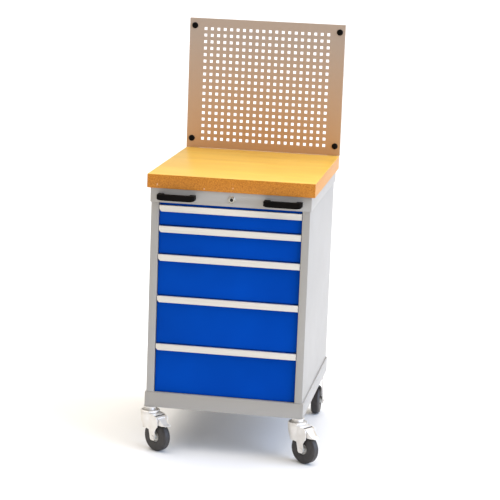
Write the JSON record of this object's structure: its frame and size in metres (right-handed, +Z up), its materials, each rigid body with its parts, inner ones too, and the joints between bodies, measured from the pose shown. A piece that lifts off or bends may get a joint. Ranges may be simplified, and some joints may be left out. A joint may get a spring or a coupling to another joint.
{
  "type": "rolling tool cabinet",
  "caption": "Tool cabinet on casters with a stack of lockable drawers, a thick wooden worktop, push handles and an upright perforated panel.",
  "frame": {"origin": "on the floor, under the middle of the worktop", "axes": "+X to the right seen from the front, +Y to the back, +Z up; the drawers face -Y"},
  "size_m": [0.6662, 0.7702, 1.513],
  "materials": {
    "board": "clear-varnished beech, satin",
    "body_paint": "light grey powder coat, fine satin",
    "front_paint": "bright blue powder coat, satin",
    "grip_strip": "extruded strip, off-white satin",
    "box_paint": "grey powder coat, satin",
    "zinc_sheet": "zinc-plated sheet, dull",
    "panel_paint": "warm grey powder coat, satin",
    "black_plastic": "moulded black, lightly textured",
    "lock_chrome": "plated, polished",
    "caster_zinc": "zinc-plated, bright",
    "tyre_rubber": "dark grey rubber, matt",
    "hub_plastic": "grey moulded, matt"
  },
  "bodies": {
    "cabinet": {"worktop": "board", "top_cap": "body_paint", "side_panel_left": "body_paint", "side_panel_right": "body_paint", "back_panel": "body_paint", "plinth": "body_paint", "slide_supports": "zinc_sheet", "cabinet_rails": "zinc_sheet", "tool_panel": "panel_paint", "panel_uprights": "panel_paint", "panel_caps": "black_plastic", "push_handle_left": "black_plastic", "push_handle_right": "black_plastic", "lock_housing": "lock_chrome", "swivel_heads": "caster_zinc", "rear_forks": "caster_zinc", "rear_axles": "caster_zinc"},
    "lock_plug": {"lock_plug": "lock_chrome", "lock_cam": "zinc_sheet"},
    "lock_rod": {"lock_rod": "zinc_sheet"},
    "lock_strip": {"lock_strip": "zinc_sheet"},
    "drawer_1": {"drawer_1_box": "box_paint", "drawer_1_front": "front_paint", "drawer_1_grip": "grip_strip", "drawer_1_fittings": "zinc_sheet"},
    "runners_1": {"drawer_1_runners": "zinc_sheet"},
    "drawer_2": {"drawer_2_box": "box_paint", "drawer_2_front": "front_paint", "drawer_2_grip": "grip_strip", "drawer_2_fittings": "zinc_sheet"},
    "runners_2": {"drawer_2_runners": "zinc_sheet"},
    "drawer_3": {"drawer_3_box": "box_paint", "drawer_3_front": "front_paint", "drawer_3_grip": "grip_strip", "drawer_3_fittings": "zinc_sheet"},
    "runners_3": {"drawer_3_runners": "zinc_sheet"},
    "drawer_4": {"drawer_4_box": "box_paint", "drawer_4_front": "front_paint", "drawer_4_grip": "grip_strip", "drawer_4_fittings": "zinc_sheet"},
    "runners_4": {"drawer_4_runners": "zinc_sheet"},
    "drawer_5": {"drawer_5_box": "box_paint", "drawer_5_front": "front_paint", "drawer_5_grip": "grip_strip", "drawer_5_fittings": "zinc_sheet"},
    "runners_5": {"drawer_5_runners": "zinc_sheet"},
    "front_fork_left": {"front_fork_left": "caster_zinc", "front_axle_left": "caster_zinc"},
    "brake_pedal_left": {"brake_pedal_left": "caster_zinc"},
    "front_wheel_left": {"front_left_tyre": "tyre_rubber", "front_left_hub": "hub_plastic"},
    "rear_wheel_left": {"rear_left_tyre": "tyre_rubber", "rear_left_hub": "hub_plastic"},
    "front_fork_right": {"front_fork_right": "caster_zinc", "front_axle_right": "caster_zinc"},
    "brake_pedal_right": {"brake_pedal_right": "caster_zinc"},
    "front_wheel_right": {"front_right_tyre": "tyre_rubber", "front_right_hub": "hub_plastic"},
    "rear_wheel_right": {"rear_right_tyre": "tyre_rubber", "rear_right_hub": "hub_plastic"}
  },
  "joints": [
    {"name": "drawer_1_slide", "type": "slide", "parent": "cabinet", "child": "drawer_1", "axis": [0, -1, 0], "range_m": [0, 0.56]},
    {"name": "runners_1_slide", "type": "slide", "parent": "cabinet", "child": "runners_1", "axis": [0, -1, 0], "range_m": [0, 0.28]},
    {"name": "drawer_2_slide", "type": "slide", "parent": "cabinet", "child": "drawer_2", "axis": [0, -1, 0], "range_m": [0, 0.56]},
    {"name": "runners_2_slide", "type": "slide", "parent": "cabinet", "child": "runners_2", "axis": [0, -1, 0], "range_m": [0, 0.28]},
    {"name": "drawer_3_slide", "type": "slide", "parent": "cabinet", "child": "drawer_3", "axis": [0, -1, 0], "range_m": [0, 0.56]},
    {"name": "runners_3_slide", "type": "slide", "parent": "cabinet", "child": "runners_3", "axis": [0, -1, 0], "range_m": [0, 0.28]},
    {"name": "drawer_4_slide", "type": "slide", "parent": "cabinet", "child": "drawer_4", "axis": [0, -1, 0], "range_m": [0, 0.56]},
    {"name": "runners_4_slide", "type": "slide", "parent": "cabinet", "child": "runners_4", "axis": [0, -1, 0], "range_m": [0, 0.28]},
    {"name": "drawer_5_slide", "type": "slide", "parent": "cabinet", "child": "drawer_5", "axis": [0, -1, 0], "range_m": [0, 0.56]},
    {"name": "runners_5_slide", "type": "slide", "parent": "cabinet", "child": "runners_5", "axis": [0, -1, 0], "range_m": [0, 0.28]},
    {"name": "front_left_swivel", "type": "hinge", "parent": "cabinet", "child": "front_fork_left", "pos_m": [-0.27, -0.3275, 0.15], "axis": [0, 0, 1], "continuous": true},
    {"name": "front_left_roll", "type": "hinge", "parent": "front_fork_left", "child": "front_wheel_left", "pos_m": [-0.23684, -0.34987, 0.055], "axis": [0.5592, 0.829, 0], "continuous": true},
    {"name": "front_left_brake", "type": "hinge", "parent": "front_fork_left", "child": "brake_pedal_left", "pos_m": [-0.22523, -0.3577, 0.12402], "axis": [0.5592, 0.829, 0], "range_deg": [0, 12]},
    {"name": "rear_left_roll", "type": "hinge", "parent": "cabinet", "child": "rear_wheel_left", "pos_m": [-0.261, 0.2935, 0.055], "axis": [1, 0, 0], "continuous": true},
    {"name": "front_right_swivel", "type": "hinge", "parent": "cabinet", "child": "front_fork_right", "pos_m": [0.27, -0.3275, 0.15], "axis": [0, 0, 1], "continuous": true},
    {"name": "front_right_roll", "type": "hinge", "parent": "front_fork_right", "child": "front_wheel_right", "pos_m": [0.30316, -0.34987, 0.055], "axis": [0.5592, 0.829, 0], "continuous": true},
    {"name": "front_right_brake", "type": "hinge", "parent": "front_fork_right", "child": "brake_pedal_right", "pos_m": [0.31477, -0.3577, 0.12402], "axis": [0.5592, 0.829, 0], "range_deg": [0, 12]},
    {"name": "rear_right_roll", "type": "hinge", "parent": "cabinet", "child": "rear_wheel_right", "pos_m": [0.261, 0.2935, 0.055], "axis": [1, 0, 0], "continuous": true},
    {"name": "lock_rod_slide", "type": "slide", "parent": "cabinet", "child": "lock_rod", "axis": [-1, 0, 0], "range_m": [0, 0.01273]},
    {"name": "lock_turn", "type": "hinge", "parent": "cabinet", "child": "lock_plug", "pos_m": [0.004, -0.344, 0.937], "axis": [0, 1, 0], "range_deg": [0, 90]},
    {"name": "lock_strip_slide", "type": "slide", "parent": "cabinet", "child": "lock_strip", "axis": [0, 0, -1], "range_m": [0, 0.01273]}
  ],
  "couplings": [
    {"joint": "runners_1_slide", "follows": "drawer_1_slide", "ratio": 0.5},
    {"joint": "runners_2_slide", "follows": "drawer_2_slide", "ratio": 0.5},
    {"joint": "runners_3_slide", "follows": "drawer_3_slide", "ratio": 0.5},
    {"joint": "runners_4_slide", "follows": "drawer_4_slide", "ratio": 0.5},
    {"joint": "runners_5_slide", "follows": "drawer_5_slide", "ratio": 0.5},
    {"joint": "lock_turn", "follows": "lock_rod_slide", "rad_per_m": 123.41},
    {"joint": "lock_strip_slide", "follows": "lock_rod_slide", "ratio": 1}
  ]
}
